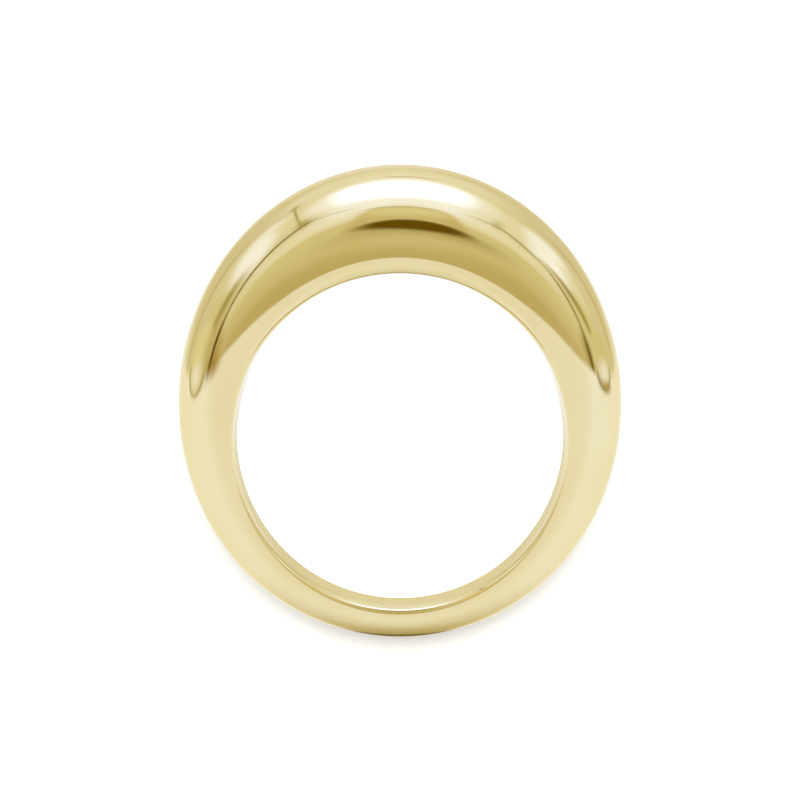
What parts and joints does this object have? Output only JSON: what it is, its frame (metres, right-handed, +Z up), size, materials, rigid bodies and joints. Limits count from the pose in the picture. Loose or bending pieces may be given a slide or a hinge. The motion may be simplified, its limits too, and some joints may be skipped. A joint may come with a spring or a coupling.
{
  "type": "domed finger ring",
  "caption": "Plain finger ring: a high rounded dome over the finger tapers down its shoulders into a slim smooth shank. Lies on its side.",
  "frame": {"origin": "middle of the footprint on the surface that the ring lies on", "axes": "+Z up from that surface, +Y from the shank towards the dome, +X across the ring"},
  "size_m": [0.0234, 0.025, 0.0109],
  "materials": {
    "polished_gold": "polished gold plating, pale yellow, mirror bright outside and satin in the finger hole"
  },
  "bodies": {
    "root": {"ring": "polished_gold"}
  },
  "joints": []
}
